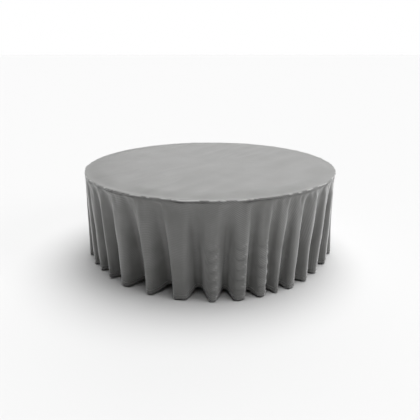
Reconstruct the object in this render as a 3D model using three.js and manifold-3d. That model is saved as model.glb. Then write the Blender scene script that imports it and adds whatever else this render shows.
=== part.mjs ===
// A floor-length round tablecloth on a round folding banquet table.
// Millimetres, +Z up. The origin is on the floor, under the centre of the table.
// The table's two wishbone leg frames stand east (+X) and west (-X), and the front is -Y.
import * as THREE from "three";
import { mergeVertices } from "three/addons/utils/BufferGeometryUtils.js";
import Module from "manifold-3d";

const wasm = await Module();
wasm.setup();

// ---------------------------------------------------------------- driving dimensions
const RUNNING_GAP = 0.3; // between pieces that touch
const CUT_PAST = 1; // how far a cutting shape runs past the face that it cuts

// Table top
const TABLE_RADIUS = 1000; // outside of the edge band
const TABLE_HEIGHT = 735; // floor to the top face of the panel
const PANEL_THICKNESS = 18;
const BAND_WIDTH = 10; // edge band, measured along a radius
const BAND_LIP = 3; // how far the band hangs below the panel
const BAND_CHAMFER = 5; // on the band's outer corners
const TOP_SEGMENTS = 72;

// Screws
const SCREW_SHANK_RADIUS = 2.2;
const SCREW_HEAD_RADIUS = 5.5;
const SCREW_HEAD_HEIGHT = 3.2;
const SCREW_HOLE_CLEARANCE = 0.3; // radial, round a shank
const SCREW_HEAD_CLEARANCE = 0.8; // radial, round a head that is let into wood
const SCREW_BITE = 12; // how far a screw goes into the panel

// Underframe
const RAIL_OFFSET = 318; // table centre line to the inner face of a side rail
const RAIL_THICKNESS = 22;
const RAIL_HEIGHT = 66;
const RAIL_END = 23; // rail past the outer edge of a hinge bracket
const RAIL_SCREW_SPACING = 600;
const RAIL_SCREW_GRIP = 30; // wood between a rail screw's head and the panel
const CROSS_RAIL_WIDTH = 30;
const CROSS_RAIL_HEIGHT = 27;
const CROSS_RAIL_TO_ANCHOR = 50; // centre of a cross rail to the brace anchor's pin

// Leg frames
const PIVOT_DROP = 57; // leg hinge, below the panel
const PIVOT_END_GAP = 2; // pivot tube's end to the side rail
const TUBE_RADIUS = 14;
const TUBE_WALL = 1.5;
const TUBE_SIDES = 12;
const LEG_TOP_Y = 130; // half the distance between a frame's legs at the hinge
const LEG_SPLAY = 12; // a foot stands this far outside its hinge
const LEG_UPPER_RUN = 250; // how long a leg keeps its direction below the hinge
const LEG_LOWER_RUN = 340; // and above the floor
const LEG_STEPS = 11;
const FOLD_GAP = 20; // a folded foot to the side rail
const FOOT_TO_CLOTH = 40; // a foot to the cloth's deepest folds
const CROSS_BAR_DROP = 300; // cross bar, below the hinge
const CROSS_BAR_RADIUS = 11;
const FOOT_WALL = 4;
const FOOT_TAPER = 2; // a foot is this much slimmer at its top
const FOOT_HEIGHT = 34;
const FOOT_FLOOR = 6; // rubber under the tube's end

// Hinge brackets
const BRACKET_THICKNESS = 5;
const BRACKET_WIDTH = 74;
const BRACKET_BELOW = 24; // bracket below the hinge line
const BRACKET_ABOVE = 46; // bracket above the hinge line
const HINGE_CLEARANCE = 0.9; // radial, between the pivot tube and its bracket
const BRACKET_SCREW_LENGTH = 18; // in the rail
const BRACKET_SCREW_SPACING = 44;
const BRACKET_SCREW_RISE = 30; // screws above the hinge line

// Folding braces
const BRACE_REACH = 360; // leg hinge to the pin of the brace's anchor
const LINK_RISE = 31; // a folded brace lies this far above the hinge line
const LINK_WIDTH = 24;
const LINK_THICKNESS = 6;
const LINK_SIDE_GAP = 0.4; // between plates that slide past each other
const PIN_RADIUS = 4;
const PIN_CLEARANCE = 0.5;
const PIN_HEAD_RADIUS = 7;
const PIN_HEAD_HEIGHT = 2.5;
const EAR_THICKNESS = 4;
const LUG_ROOT = 4; // lug above and below the cross bar
const ANCHOR_BASE_THICKNESS = 4;
const ANCHOR_BASE_WIDTH = 64;
const ANCHOR_BASE_LENGTH = 36;
const ANCHOR_SCREW_SPACING = 42;

// Tablecloth
const CLOTH_GAP = 1; // cloth to the edge band
const TOP_CLOTH_THICKNESS = 2;
const SKIRT_THICKNESS = 2.8; // along a radius, so a slanting fold is thinner than this
const HEM_CLEARANCE = 10; // hem to the floor
const HEM_HEIGHT = 26;
const HEM_THICKNESS = 3; // the cloth turned twice and stitched
const RIM_ROUNDING = 6;
const FOLDS = 34;
const FIRST_FOLD = -1.354; // azimuth of one fold's ridge, in radians from the front
const UNEVENNESS = 0.059; // how far the folds wander from even spacing, in radians
const UNEVEN_WAVES = 3; // stretches of wide and narrow folds round the table
const UNEVEN_PHASE = 1.42;
const FOLD_START = 4; // the folds begin this far below the edge band
const FOLD_DEPTH = 122; // ridge to valley at the hem
const FOLD_GROWTH = 0.8; // exponent: how quickly the folds deepen on the way down
const RIDGE_LEAN = 14; // the ridges hang this far inside the rim at the hem
const POINTS_PER_FOLD = 4;
const FOLD_LEVELS = [0, 0.55, 0.88, 1]; // rows of points, as shares of the skirt's height

// ---------------------------------------------------------------- levels, from the floor
const panelBottom = TABLE_HEIGHT - PANEL_THICKNESS;
const bandBottom = panelBottom - BAND_LIP;
const railTop = panelBottom - RUNNING_GAP;
const hingeZ = panelBottom - PIVOT_DROP;
const linkZ = hingeZ + LINK_RISE;
const crossBarZ = hingeZ - CROSS_BAR_DROP;
const foldTop = bandBottom - FOLD_START;
const clothUnderside = TABLE_HEIGHT + RUNNING_GAP;
const hemTop = HEM_CLEARANCE + HEM_HEIGHT;

// ---------------------------------------------------------------- plan of the underframe
// The feet fold up between the side rails, and stand clear of the cloth's deepest folds.
const clothInside = TABLE_RADIUS + CLOTH_GAP;
const footRadius = TUBE_RADIUS + FOOT_WALL;
const legFootY = RAIL_OFFSET - FOLD_GAP - footRadius;
const footLimit = clothInside - FOLD_DEPTH - RIDGE_LEAN - FOOT_TO_CLOTH;
const footX = Math.sqrt(footLimit ** 2 - (legFootY + footRadius) ** 2) - footRadius;
const pivotX = footX - LEG_SPLAY;
const anchorX = pivotX - BRACE_REACH;
const crossRailX = anchorX - CROSS_RAIL_TO_ANCHOR;
const railHalf = pivotX + BRACKET_WIDTH / 2 + RAIL_END;
const railMiddleY = RAIL_OFFSET + RAIL_THICKNESS / 2;

// ---------------------------------------------------------------- finishes
const finish = (color, roughness, metalness) =>
  new THREE.MeshStandardMaterial({ color, roughness, metalness });
const clothFinish = finish(0x8f8f8f, 0.75, 0);
const plywoodFinish = finish(0xc9a56f, 0.6, 0);
const battenFinish = finish(0xb98e58, 0.65, 0);
const bandFinish = finish(0x3a342e, 0.5, 0);
const steelFinish = finish(0x4c4f52, 0.45, 0.2);
const zincFinish = finish(0xb4b6b5, 0.35, 0.9);
const rubberFinish = finish(0x232323, 0.85, 0);

// ---------------------------------------------------------------- solids and booleans
// A closed geometry as a solid that can be cut and joined.
function solidOf(geometry) {
  const bare = geometry.clone();
  bare.deleteAttribute("normal");
  bare.deleteAttribute("uv");
  const merged = mergeVertices(bare, 1e-3);
  return new wasm.Manifold(
    new wasm.Mesh({
      numProp: 3,
      vertProperties: merged.getAttribute("position").array,
      triVerts: new Uint32Array(merged.index.array),
    }),
  );
}

function geometryOf(solid) {
  const mesh = solid.getMesh();
  return new THREE.BufferGeometry()
    .setAttribute("position", new THREE.BufferAttribute(mesh.vertProperties, 3))
    .setIndex(new THREE.BufferAttribute(mesh.triVerts, 1));
}

const cut = (geometry, ...tools) =>
  geometryOf(tools.reduce((left, tool) => left.subtract(solidOf(tool)), solidOf(geometry)));
const join = (geometry, ...more) =>
  geometryOf(more.reduce((sum, extra) => sum.add(solidOf(extra)), solidOf(geometry)));

function addPart(group, name, geometry, material) {
  const mesh = new THREE.Mesh(geometry, material);
  mesh.name = name;
  group.add(mesh);
  return mesh;
}

// ---------------------------------------------------------------- basic shapes
const boxAt = (sizeX, sizeY, sizeZ, x, y, z) =>
  new THREE.BoxGeometry(sizeX, sizeY, sizeZ).translate(x, y, z);

// A round bar along Y from y0 to y1.
const rodAlongY = (radius, y0, y1, x, z, sides = 16) =>
  new THREE.CylinderGeometry(radius, radius, y1 - y0, sides).translate(x, (y0 + y1) / 2, z);

// A plate drawn in the XZ plane, filling the depth between its two faces.
const plateXZ = (shape, faceA, faceB) =>
  new THREE.ExtrudeGeometry(shape, {
    depth: Math.abs(faceB - faceA),
    bevelEnabled: false,
    curveSegments: 7,
  })
    .rotateX(Math.PI / 2)
    .translate(0, Math.max(faceA, faceB), 0);

const rectangle = (x0, x1, z0, z1) =>
  new THREE.Shape([
    new THREE.Vector2(x0, z0),
    new THREE.Vector2(x1, z0),
    new THREE.Vector2(x1, z1),
    new THREE.Vector2(x0, z1),
  ]);

function roundHole(x, z, radius) {
  return new THREE.Path().absarc(x, z, radius, 0, 2 * Math.PI, true);
}

// A ring turned about the table's axis: the profile holds [radius, z] corners.
const turned = (corners, segments, start = 0) =>
  new THREE.LatheGeometry(
    corners.map(([radius, z]) => new THREE.Vector2(radius, z)),
    segments,
    start,
  ).rotateX(Math.PI / 2);

function circleShape(radius, sides) {
  const corners = Array.from({ length: sides }, (_, i) => {
    const angle = (2 * Math.PI * i) / sides;
    return new THREE.Vector2(radius * Math.cos(angle), radius * Math.sin(angle));
  });
  return new THREE.Shape(corners);
}

// A tube along a curve, or a solid rod where wall is 0.
function tubeAlong(curve, radius, wall, steps, sides = TUBE_SIDES) {
  const section = circleShape(radius, sides);
  if (wall > 0) section.holes.push(new THREE.Path(circleShape(radius - wall, sides).getPoints()));
  return new THREE.ExtrudeGeometry(section, { steps, bevelEnabled: false, extrudePath: curve });
}

const straight = (from, to) =>
  new THREE.LineCurve3(new THREE.Vector3(...from), new THREE.Vector3(...to));

// ---------------------------------------------------------------- screws
// A round bar along Z from z0 to z1.
const rodAlongZ = (radius, z0, z1, x, y, sides) =>
  new THREE.CylinderGeometry(radius, radius, z1 - z0, sides)
    .rotateX(Math.PI / 2)
    .translate(x, y, (z0 + z1) / 2);

// A screw that points up. Its head bears at z, and its shank ends at tip.
const screwUp = (x, y, z, tip) =>
  join(
    rodAlongZ(SCREW_HEAD_RADIUS, z - SCREW_HEAD_HEIGHT, z, x, y, 12),
    rodAlongZ(SCREW_SHANK_RADIUS, z - SCREW_HEAD_HEIGHT / 2, tip, x, y, 8),
  );

const holeRadius = SCREW_SHANK_RADIUS + SCREW_HOLE_CLEARANCE;
const screwTipInPanel = panelBottom + SCREW_BITE;

// A hole along Z for a screw's shank, from bottom up into the panel.
const screwHole = ([x, y], bottom) =>
  rodAlongZ(holeRadius, bottom, screwTipInPanel + RUNNING_GAP, x, y, 8);

// The places of the screws that go up into the panel, as [x, y].
const railScrews = (side) =>
  [-1, 0, 1].map((step) => [step * RAIL_SCREW_SPACING, side * railMiddleY]);
const anchorScrews = (side) =>
  [-0.5, 0.5].map((step) => [side * anchorX, step * ANCHOR_SCREW_SPACING]);

// ---------------------------------------------------------------- table top
function addTableTop(group) {
  const panelRadius = TABLE_RADIUS - BAND_WIDTH - RUNNING_GAP;
  const panel = turned(
    [
      [0, panelBottom],
      [panelRadius, panelBottom],
      [panelRadius, TABLE_HEIGHT],
      [0, TABLE_HEIGHT],
    ],
    TOP_SEGMENTS,
  );
  const places = [-1, 1].flatMap((side) => [...railScrews(side), ...anchorScrews(side)]);
  const holes = places.map((place) => screwHole(place, panelBottom - CUT_PAST));
  addPart(group, "top_panel", cut(panel, ...holes), plywoodFinish);

  const inner = TABLE_RADIUS - BAND_WIDTH;
  const band = turned(
    [
      [inner, bandBottom],
      [TABLE_RADIUS - BAND_CHAMFER, bandBottom],
      [TABLE_RADIUS, bandBottom + BAND_CHAMFER],
      [TABLE_RADIUS, TABLE_HEIGHT - BAND_CHAMFER],
      [TABLE_RADIUS - BAND_CHAMFER, TABLE_HEIGHT],
      [inner, TABLE_HEIGHT],
      [inner, bandBottom],
    ],
    TOP_SEGMENTS,
  );
  addPart(group, "edge_band", band, bandFinish);
}

// The two screws of a hinge bracket, as places in the XZ plane.
const bracketScrews = (x) =>
  [-0.5, 0.5].map((step) => [x + step * BRACKET_SCREW_SPACING, hingeZ + BRACKET_SCREW_RISE]);

function addSideRail(group, name, side) {
  const bottom = railTop - RAIL_HEIGHT;
  const outline = rectangle(-railHalf, railHalf, bottom, railTop);
  for (const x of [-pivotX, pivotX])
    for (const place of bracketScrews(x)) outline.holes.push(roundHole(...place, holeRadius));
  const faces = [side * RAIL_OFFSET, side * (RAIL_OFFSET + RAIL_THICKNESS)];
  const bearing = railTop - RAIL_SCREW_GRIP;
  const recess = SCREW_HEAD_RADIUS + SCREW_HEAD_CLEARANCE;
  const places = railScrews(side);
  const tools = places.flatMap(([x, y]) => [
    screwHole([x, y], bottom),
    rodAlongZ(recess, bottom - CUT_PAST, bearing, x, y, 12),
  ]);
  addPart(group, `side_rail_${name}`, cut(plateXZ(outline, ...faces), ...tools), battenFinish);
  places.forEach(([x, y], i) => {
    const screw = screwUp(x, y, bearing - RUNNING_GAP, screwTipInPanel);
    addPart(group, `rail_screw_${name}_${i + 1}`, screw, zincFinish);
  });
}

function addUnderframe(group) {
  addSideRail(group, "front", -1);
  addSideRail(group, "back", 1);
  for (const [name, side] of [["west", -1], ["east", 1]]) {
    const rail = boxAt(
      CROSS_RAIL_WIDTH,
      2 * (RAIL_OFFSET - RUNNING_GAP),
      CROSS_RAIL_HEIGHT,
      side * crossRailX,
      0,
      railTop - CROSS_RAIL_HEIGHT / 2,
    );
    addPart(group, `cross_rail_${name}`, rail, battenFinish);
  }
}

// ---------------------------------------------------------------- one leg frame, built east
// The centre line of a leg: straight down from the hinge, out in a soft bend, and down again.
const legCurve = (side) =>
  new THREE.CubicBezierCurve3(
    new THREE.Vector3(pivotX, side * LEG_TOP_Y, hingeZ),
    new THREE.Vector3(pivotX, side * LEG_TOP_Y, hingeZ - LEG_UPPER_RUN),
    new THREE.Vector3(footX, side * legFootY, FOOT_FLOOR + LEG_LOWER_RUN),
    new THREE.Vector3(footX, side * legFootY, FOOT_FLOOR + RUNNING_GAP),
  );

// Where a leg's centre line passes a level.
function legAt(side, z) {
  const curve = legCurve(side);
  let [low, high] = [0, 1];
  for (let i = 0; i < 40; i++) {
    const middle = (low + high) / 2;
    if (curve.getPoint(middle).z > z) low = middle;
    else high = middle;
  }
  return curve.getPoint(low);
}

function addLegs(group, name) {
  const pivotHalf = RAIL_OFFSET - PIVOT_END_GAP;
  const pivotLine = straight([pivotX, -pivotHalf, hingeZ], [pivotX, pivotHalf, hingeZ]);
  const pivotTube = tubeAlong(pivotLine, TUBE_RADIUS, TUBE_WALL, 1, 16);
  addPart(group, `leg_${name}_pivot_tube`, pivotTube, steelFinish);

  const pivotRod = rodAlongY(TUBE_RADIUS + RUNNING_GAP, -pivotHalf, pivotHalf, pivotX, hingeZ);
  const legRods = [];
  for (const [place, side] of [["front", -1], ["back", 1]]) {
    const tube = tubeAlong(legCurve(side), TUBE_RADIUS, TUBE_WALL, LEG_STEPS);
    addPart(group, `leg_${name}_tube_${place}`, cut(tube, pivotRod), steelFinish);
    legRods.push(tubeAlong(legCurve(side), TUBE_RADIUS + RUNNING_GAP, 0, LEG_STEPS));
    const cup = new THREE.CylinderGeometry(footRadius - FOOT_TAPER, footRadius, FOOT_HEIGHT, 20)
      .rotateX(Math.PI / 2)
      .translate(footX, side * legFootY, FOOT_HEIGHT / 2);
    const [low, high] = [FOOT_FLOOR, FOOT_FLOOR + 2 * RUNNING_GAP];
    const socketRadius = TUBE_RADIUS + RUNNING_GAP;
    const socketEnd = rodAlongZ(socketRadius, low, high, footX, side * legFootY, 24);
    const foot = cut(cup, legRods.at(-1), socketEnd);
    addPart(group, `leg_${name}_foot_${place}`, foot, rubberFinish);
  }

  const [near, far] = [legAt(-1, crossBarZ), legAt(1, crossBarZ)];
  const barLine = straight([near.x, near.y, crossBarZ], [far.x, far.y, crossBarZ]);
  const bar = tubeAlong(barLine, CROSS_BAR_RADIUS, TUBE_WALL, 1, 16);
  addPart(group, `leg_${name}_cross_bar`, cut(bar, ...legRods), steelFinish);
  addBraceLug(group, name, near.x);
}

// ---------------------------------------------------------------- folding brace of one frame
// The brace is two flat links: the upper one hangs from an anchor under the panel, and the
// lower one from a lug on the leg's cross bar. Open, they stand in one straight line. Folded,
// both lie level, one beside the other, just above the legs.
const lugX = pivotX - LINK_RISE;
const braceOpen = Math.hypot(lugX - anchorX, linkZ - crossBarZ);
const braceFolded = BRACE_REACH - CROSS_BAR_DROP;
const upperLength = (braceOpen + braceFolded) / 2;
const lowerLength = (braceOpen - braceFolded) / 2;
const braceAngle = Math.atan2(linkZ - crossBarZ, lugX - anchorX);

const upperSide = [-LINK_THICKNESS / 2, LINK_THICKNESS / 2];
const lowerSide = [upperSide[1] + LINK_SIDE_GAP, upperSide[1] + LINK_SIDE_GAP + LINK_THICKNESS];
const lugSide = [lowerSide[1] + LINK_SIDE_GAP, lowerSide[1] + LINK_SIDE_GAP + EAR_THICKNESS];

// A bar with two round ends and a hole at each, from (0, 0) along +X.
function linkShape(length) {
  const half = LINK_WIDTH / 2;
  const shape = new THREE.Shape();
  shape.absarc(0, 0, half, Math.PI / 2, (3 * Math.PI) / 2, false);
  shape.absarc(length, 0, half, -Math.PI / 2, Math.PI / 2, false);
  for (const x of [0, length]) shape.holes.push(roundHole(x, 0, PIN_RADIUS + PIN_CLEARANCE));
  return shape;
}

// A pin along Y with a head past each end that asks for one.
function pinAlongY(y0, y1, x, z, headFirst, headLast) {
  const into = PIN_HEAD_HEIGHT / 2; // the shank runs this far into a head
  const shankEnds = [headFirst ? y0 - into : y0, headLast ? y1 + into : y1];
  const heads = [];
  if (headFirst) heads.push(rodAlongY(PIN_HEAD_RADIUS, y0 - PIN_HEAD_HEIGHT, y0, x, z, 12));
  if (headLast) heads.push(rodAlongY(PIN_HEAD_RADIUS, y1, y1 + PIN_HEAD_HEIGHT, x, z, 12));
  return join(rodAlongY(PIN_RADIUS, ...shankEnds, x, z, 12), ...heads);
}

function addBraceLug(group, name, barX) {
  const root = CROSS_BAR_RADIUS + LUG_ROOT;
  const outline = new THREE.Shape();
  outline.absarc(lugX, crossBarZ, LINK_WIDTH / 2, Math.PI / 2, (3 * Math.PI) / 2, false);
  outline.lineTo(barX, crossBarZ - root);
  outline.lineTo(barX, crossBarZ + root);
  outline.holes.push(roundHole(lugX, crossBarZ, PIN_RADIUS + PIN_CLEARANCE));
  const [barStart, barEnd] = [lugSide[0] - CUT_PAST, lugSide[1] + CUT_PAST];
  const bar = rodAlongY(CROSS_BAR_RADIUS + RUNNING_GAP, barStart, barEnd, barX, crossBarZ);
  addPart(group, `leg_${name}_brace_lug`, cut(plateXZ(outline, ...lugSide), bar), steelFinish);
  const pinStart = lowerSide[0] + RUNNING_GAP; // flush, so that the upper link can pass
  const pin = pinAlongY(pinStart, lugSide[1] + RUNNING_GAP, lugX, crossBarZ, false, true);
  addPart(group, `leg_${name}_lug_pin`, pin, zincFinish);
}

// The knee's rivet is in two halves, one in each link, which face each other at the knee.
function addBrace(group, name) {
  const kneeX = anchorX + upperLength * Math.cos(braceAngle);
  const kneeZ = linkZ - upperLength * Math.sin(braceAngle);
  const upper = plateXZ(linkShape(upperLength), ...upperSide)
    .rotateY(braceAngle)
    .translate(anchorX, 0, linkZ);
  addPart(group, `brace_${name}_upper_link`, upper, zincFinish);
  const [outerFace, innerEnd] = [upperSide[0] - RUNNING_GAP, upperSide[1]];
  const rivet = pinAlongY(outerFace, innerEnd, kneeX, kneeZ, true, false);
  addPart(group, `brace_${name}_knee_rivet`, rivet, zincFinish);

  const lower = plateXZ(linkShape(lowerLength), ...lowerSide)
    .rotateY(Math.PI + braceAngle)
    .translate(lugX, 0, crossBarZ);
  addPart(group, `brace_${name}_lower_link`, lower, zincFinish);
  const cap = pinAlongY(lowerSide[0], lowerSide[1] + RUNNING_GAP, kneeX, kneeZ, false, true);
  addPart(group, `brace_${name}_knee_rivet_cap`, cap, zincFinish);
}

function addAnchor(group, name) {
  const baseBottom = railTop - ANCHOR_BASE_THICKNESS;
  const base = boxAt(
    ANCHOR_BASE_LENGTH,
    ANCHOR_BASE_WIDTH,
    ANCHOR_BASE_THICKNESS,
    anchorX,
    0,
    railTop - ANCHOR_BASE_THICKNESS / 2,
  );
  const ear = new THREE.Shape();
  ear.absarc(anchorX, linkZ, LINK_WIDTH / 2, Math.PI, 2 * Math.PI, false);
  ear.lineTo(anchorX + LINK_WIDTH / 2, railTop - ANCHOR_BASE_THICKNESS / 2);
  ear.lineTo(anchorX - LINK_WIDTH / 2, railTop - ANCHOR_BASE_THICKNESS / 2);
  ear.holes.push(roundHole(anchorX, linkZ, PIN_RADIUS + PIN_CLEARANCE));
  const inside = upperSide[1] + LINK_SIDE_GAP;
  const outside = inside + EAR_THICKNESS;
  const clevis = join(base, plateXZ(ear, inside, outside), plateXZ(ear, -outside, -inside));
  const holes = anchorScrews(1).map((place) => screwHole(place, baseBottom - CUT_PAST));
  addPart(group, `brace_${name}_anchor`, cut(clevis, ...holes), steelFinish);

  const pinEnd = outside + RUNNING_GAP;
  const pin = pinAlongY(-pinEnd, pinEnd, anchorX, linkZ, true, true);
  addPart(group, `brace_${name}_anchor_pin`, pin, zincFinish);
  anchorScrews(1).forEach(([x, y], i) => {
    const screw = screwUp(x, y, baseBottom - RUNNING_GAP, screwTipInPanel);
    addPart(group, `anchor_screw_${name}_${i + 1}`, screw, zincFinish);
  });
}

// ---------------------------------------------------------------- hinge brackets
function addBrackets(group, name) {
  const half = BRACKET_WIDTH / 2;
  const outline = rectangle(
    pivotX - half,
    pivotX + half,
    hingeZ - BRACKET_BELOW,
    hingeZ + BRACKET_ABOVE,
  );
  outline.holes.push(roundHole(pivotX, hingeZ, TUBE_RADIUS + HINGE_CLEARANCE));
  for (const place of bracketScrews(pivotX)) outline.holes.push(roundHole(...place, holeRadius));
  const outer = RAIL_OFFSET - RUNNING_GAP;
  const inner = outer - BRACKET_THICKNESS;
  for (const [place, side] of [["front", -1], ["back", 1]]) {
    const plate = plateXZ(outline, side * inner, side * outer);
    addPart(group, `hinge_bracket_${name}_${place}`, plate, zincFinish);
    bracketScrews(pivotX).forEach(([x, z], i) => {
      const screw = screwUp(0, 0, inner - RUNNING_GAP, RAIL_OFFSET + BRACKET_SCREW_LENGTH)
        .rotateX(-side * (Math.PI / 2))
        .translate(x, 0, z);
      addPart(group, `bracket_screw_${name}_${place}_${i + 1}`, screw, zincFinish);
    });
  }
}

// ---------------------------------------------------------------- tablecloth
// Bends a drum, turned about the table's axis, into folds. The folds start under the edge
// band and deepen towards the hem. Their valleys reach in under the table.
function pleat(drum) {
  const positions = drum.getAttribute("position");
  for (let i = 0; i < positions.count; i++) {
    const [x, y, z] = [positions.getX(i), positions.getY(i), positions.getZ(i)];
    const radius = Math.hypot(x, y);
    if (radius < 1) continue;
    const even = Math.atan2(x, -y);
    const angle = even + UNEVENNESS * Math.sin(UNEVEN_WAVES * even + UNEVEN_PHASE);
    const fall = Math.max(0, (foldTop - z) / (foldTop - HEM_CLEARANCE));
    const valley = (1 - Math.cos(FOLDS * (even - FIRST_FOLD))) / 2;
    const inset = FOLD_DEPTH * fall ** FOLD_GROWTH * valley + RIDGE_LEAN * fall;
    const folded = radius - inset;
    positions.setXYZ(i, folded * Math.sin(angle), -folded * Math.cos(angle), z);
  }
  return drum;
}

// A folded wall: what is left of one folded drum when a smaller one is cut out of it. Both
// have the same rows of points, so the wall keeps its thickness in the folds.
function foldedShell(outer, inner) {
  const drum = (corners) => pleat(turned(corners, FOLDS * POINTS_PER_FOLD, FIRST_FOLD));
  return cut(drum(outer), drum(inner));
}

function addTablecloth(group) {
  const outside = clothInside + SKIRT_THICKNESS;
  const top = clothUnderside + TOP_CLOTH_THICKNESS;
  const bottom = hemTop + RUNNING_GAP;
  const levels = FOLD_LEVELS.map((share) => bottom + (foldTop - bottom) * share);
  const outer = [
    [0, bottom],
    ...levels.map((z) => [outside, z]),
    [outside, top - RIM_ROUNDING],
    [outside - RIM_ROUNDING / 3, top - RIM_ROUNDING / 3],
    [outside - RIM_ROUNDING, top],
    [0, top],
  ];
  const inner = [
    [0, bottom - CUT_PAST],
    [clothInside, bottom - CUT_PAST],
    ...levels.map((z) => [clothInside, z]),
    [clothInside, clothUnderside],
    [0, clothUnderside],
  ];
  addPart(group, "tablecloth", foldedShell(outer, inner), clothFinish);

  const middle = clothInside + SKIRT_THICKNESS / 2;
  const hemOutside = middle + HEM_THICKNESS / 2;
  const hemInside = middle - HEM_THICKNESS / 2;
  const hemOuter = [
    [0, HEM_CLEARANCE],
    [hemOutside, HEM_CLEARANCE],
    [hemOutside, hemTop],
    [0, hemTop],
  ];
  const hemInner = [
    [0, HEM_CLEARANCE - CUT_PAST],
    [hemInside, HEM_CLEARANCE - CUT_PAST],
    [hemInside, HEM_CLEARANCE],
    [hemInside, hemTop],
    [hemInside, hemTop + CUT_PAST],
    [0, hemTop + CUT_PAST],
  ];
  addPart(group, "hem", foldedShell(hemOuter, hemInner), clothFinish);
}

// ---------------------------------------------------------------- the whole object
const table = new THREE.Group();
addTableTop(table);
addUnderframe(table);
for (const [name, turn] of [["east", 0], ["west", Math.PI]]) {
  const side = new THREE.Group();
  side.rotation.z = turn;
  addLegs(side, name);
  addBrackets(side, name);
  addAnchor(side, name);
  addBrace(side, name);
  table.add(side);
}
addTablecloth(table);

export default table;
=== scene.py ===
# %% [markdown]
# # A floor-length tablecloth on a round banquet table
#
# The object is one round sheet of satin-faced polyester, thrown over a folding table of two
# metres across. The cloth reaches the floor all round, and because it is cut far wider than
# the table, the part that hangs has cloth to spare and falls into upright folds.
#
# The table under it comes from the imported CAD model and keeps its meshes. It gets its real
# finishes here. The cloth and its hem are made new, because a draped sheet is a shape that
# gravity makes and that CAD can only stand in for.

# %% Load the frame
import math

import bmesh
import bpy
import numpy as np
from mathutils import Matrix, Vector, noise


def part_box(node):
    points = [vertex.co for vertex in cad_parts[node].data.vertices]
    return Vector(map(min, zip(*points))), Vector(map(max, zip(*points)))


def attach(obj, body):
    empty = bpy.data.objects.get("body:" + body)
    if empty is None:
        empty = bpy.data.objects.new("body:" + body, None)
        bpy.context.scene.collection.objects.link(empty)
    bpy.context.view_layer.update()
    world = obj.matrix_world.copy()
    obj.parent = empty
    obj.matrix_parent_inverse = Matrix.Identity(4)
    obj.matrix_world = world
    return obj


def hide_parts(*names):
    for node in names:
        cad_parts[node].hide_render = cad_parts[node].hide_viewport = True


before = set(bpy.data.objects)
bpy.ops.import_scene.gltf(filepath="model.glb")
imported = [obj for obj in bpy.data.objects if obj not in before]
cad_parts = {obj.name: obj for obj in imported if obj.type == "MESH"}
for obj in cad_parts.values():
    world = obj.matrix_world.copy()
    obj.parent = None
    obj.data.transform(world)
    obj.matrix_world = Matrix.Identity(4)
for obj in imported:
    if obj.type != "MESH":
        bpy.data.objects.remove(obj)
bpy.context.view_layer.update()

# %% [markdown]
# ## Camera
#
# The table is looked at from a standing person's height and about four metres away, with a
# lens of about 40 mm on a full-frame sensor. The camera is made first, so that every piece
# can be judged in the view that matters most.

# %% Camera
VIEW_DISTANCE = 4.015    # metres, from the lens to the point it looks at
VIEW_PITCH = math.radians(18.48)
VIEW_TARGET = Vector((0, 0, 0.3395))
LENS = 40.37             # mm
SENSOR_WIDTH = 36        # mm, full frame

back_to_camera = Vector((0, -math.cos(VIEW_PITCH), math.sin(VIEW_PITCH)))
camera = bpy.data.objects.new("camera", bpy.data.cameras.new("camera"))
camera.data.lens = LENS
camera.data.sensor_width = SENSOR_WIDTH
camera.location = VIEW_TARGET + back_to_camera * VIEW_DISTANCE
camera.rotation_mode = "QUATERNION"
camera.rotation_quaternion = (-back_to_camera).to_track_quat("-Z", "Y")
bpy.context.collection.objects.link(camera)
bpy.context.scene.camera = camera
print("camera at", tuple(round(x, 3) for x in camera.location))

# %% [markdown]
# ## Lamps
#
# Three soft lamps. Most light on the skirt of a tablecloth is light that the floor sends back
# up, which is why the top looks so much brighter than the sides. Area lamps could do this
# too, but a sun with a wide angle lights the whole cloth alike wherever it stands. The large
# lamp hangs overhead, one behind draws the rim, and a narrow one at the right catches the
# folds on that side.

# %% Lamps
def linear(hex_colour):
    """An sRGB hex colour, such as 8F8F8F, as the linear colour that shaders take."""
    parts = [int(hex_colour[i:i + 2], 16) / 255 for i in (0, 2, 4)]
    return [c / 12.92 if c <= 0.04045 else ((c + 0.055) / 1.055) ** 2.4 for c in parts] + [1]


def soft_sun(name, direction_from, strength, width):
    """A lamp so far away that it lights everything alike, and so wide that shadows are soft."""
    sun = bpy.data.objects.new(name, bpy.data.lights.new(name, "SUN"))
    sun.data.energy = strength
    sun.data.angle = math.radians(width)
    sun.rotation_mode = "QUATERNION"
    sun.rotation_quaternion = (-Vector(direction_from)).to_track_quat("-Z", "Y")
    bpy.context.collection.objects.link(sun)


soft_sun("overhead softbox", (0.16, 0.16, 1), 3.8, 60)
soft_sun("back softbox", (0.15, 1, 0.45), 0.66, 50)
soft_sun("right softbox", (1, -0.35, 0.55), 0.34, 25)

# %% [markdown]
# ## Sky and floor
#
# The white sky behind everything is seen by the camera but gives little light, so that the
# lamps still make the shadows. The floor is one pale, plain sheet that reaches past the
# horizon. It isn't part of the object.

# %% Sky and floor
SKY_AS_LIGHT = 0.06      # how strongly the sky lights the object
SKY_AS_SEEN = 1.0        # and how bright it looks from the camera
FLOOR_HALF_WIDTH = 400   # metres

world = bpy.data.worlds.new("studio")
world.use_nodes = True
sky = world.node_tree
background = sky.nodes["Background"]
background.inputs["Color"].default_value = linear("FFFFFF")
rays = sky.nodes.new("ShaderNodeLightPath")
strength = sky.nodes.new("ShaderNodeMapRange")
strength.inputs["To Min"].default_value = SKY_AS_LIGHT
strength.inputs["To Max"].default_value = SKY_AS_SEEN
sky.links.new(rays.outputs["Is Camera Ray"], strength.inputs["Value"])
sky.links.new(strength.outputs["Result"], background.inputs["Strength"])
bpy.context.scene.world = world
bpy.context.scene.view_settings.view_transform = "Standard"

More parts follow.
